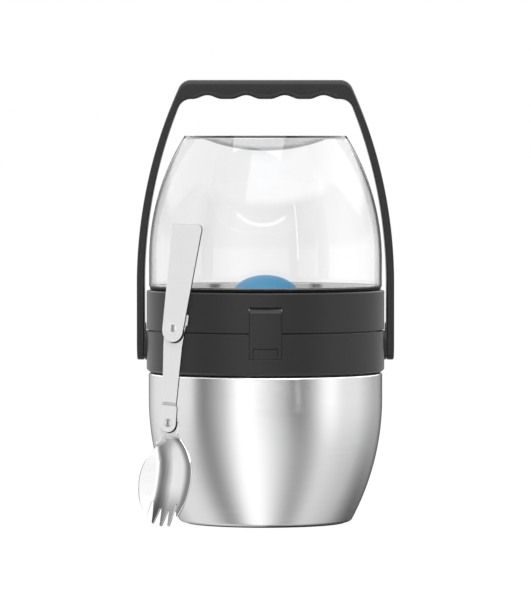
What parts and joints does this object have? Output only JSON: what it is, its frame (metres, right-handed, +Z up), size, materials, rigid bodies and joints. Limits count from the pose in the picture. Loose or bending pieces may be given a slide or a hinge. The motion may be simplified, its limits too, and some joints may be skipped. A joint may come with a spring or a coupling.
{
  "type": "insulated food jar",
  "caption": "Steel insulated food jar with hinged lid, front latch, clear serving bowl on top, carrying handle and a folding spork leaning on it.",
  "frame": {"origin": "centre of the flat face that the jar stands on", "axes": "+Z up, -Y towards the latch at the front, +X to the right as seen from the front"},
  "size_m": [0.1342, 0.132, 0.2314],
  "materials": {
    "brushed_steel": "fine circumferential brushing, satin",
    "plain_steel": "plain stainless steel",
    "spork_steel": "satin stainless sheet, polished bowl",
    "black_plastic": "satin, very fine grain",
    "black_rubber": "matte",
    "blue_silicone": "smooth, soft sheen",
    "clear_plastic": "clear, glossy",
    "white_foam": "matte foam",
    "seal_glass": "gloss bead"
  },
  "bodies": {
    "jar": {"outer_shell": "brushed_steel", "inner_liner": "plain_steel", "base_disc": "plain_steel", "vacuum_seal": "seal_glass", "getter": "plain_steel", "base_pad": "black_rubber", "collar": "black_plastic", "collar_gasket": "black_rubber", "hinge_pin": "plain_steel", "pivot_pin_left": "black_plastic", "pivot_pin_right": "black_plastic"},
    "lid": {"lid_ring": "black_plastic", "divider": "black_plastic", "stopper_shell": "black_plastic", "stopper_foam": "white_foam", "jar_gasket": "blue_silicone", "stopper_screws": "plain_steel", "vent_grommet": "black_rubber", "bowl_seat": "black_rubber", "latch_pin": "plain_steel"},
    "vent": {"vent_dome": "blue_silicone"},
    "bowl": {"clear_bowl": "clear_plastic"},
    "latch": {"latch": "black_plastic"},
    "handle": {"handle": "black_plastic"},
    "spork_scoop": {"spork_scoop": "spork_steel"},
    "spork_link": {"spork_link": "spork_steel", "spork_rivet_lower": "spork_steel", "spork_rivet_upper": "spork_steel"},
    "spork_end": {"spork_end": "spork_steel"}
  },
  "joints": [
    {"name": "lid_hinge", "type": "hinge", "parent": "jar", "child": "lid", "pos_m": [0, 0.0662, 0.1008], "axis": [-1, 0, 0], "range_deg": [0, 85]},
    {"name": "handle_swing", "type": "hinge", "parent": "jar", "child": "handle", "pos_m": [0, 0, 0.095], "axis": [1, 0, 0], "range_deg": [0, 128]},
    {"name": "latch_swing", "type": "hinge", "parent": "lid", "child": "latch", "pos_m": [0, -0.0599, 0.1131], "axis": [-1, 0, 0], "range_deg": [0, 70]},
    {"name": "bowl_lift", "type": "slide", "parent": "lid", "child": "bowl", "axis": [0, 0, 1], "range_m": [0, 0.0045]},
    {"name": "vent_pull", "type": "slide", "parent": "lid", "child": "vent", "axis": [0, 0, 1], "range_m": [0, 0.003]},
    {"name": "spork_take", "type": "slide", "parent": "jar", "child": "spork_scoop", "axis": [-0.5, -0.5, 0.7071], "range_m": [0, 0.12]},
    {"name": "spork_fold_lower", "type": "hinge", "parent": "spork_scoop", "child": "spork_link", "pos_m": [-0.04915, -0.04353, 0.05436], "axis": [-0.4998, -0.8656, 0.0297], "range_deg": [0, 174]},
    {"name": "spork_fold_upper", "type": "hinge", "parent": "spork_link", "child": "spork_end", "pos_m": [-0.0459, -0.04373, 0.10346], "axis": [-0.4998, -0.8656, 0.0297], "range_deg": [0, 180]}
  ],
  "couplings": [
    {"joint": "handle_swing", "follows": "lid_hinge", "ratio": 1.5}
  ]
}
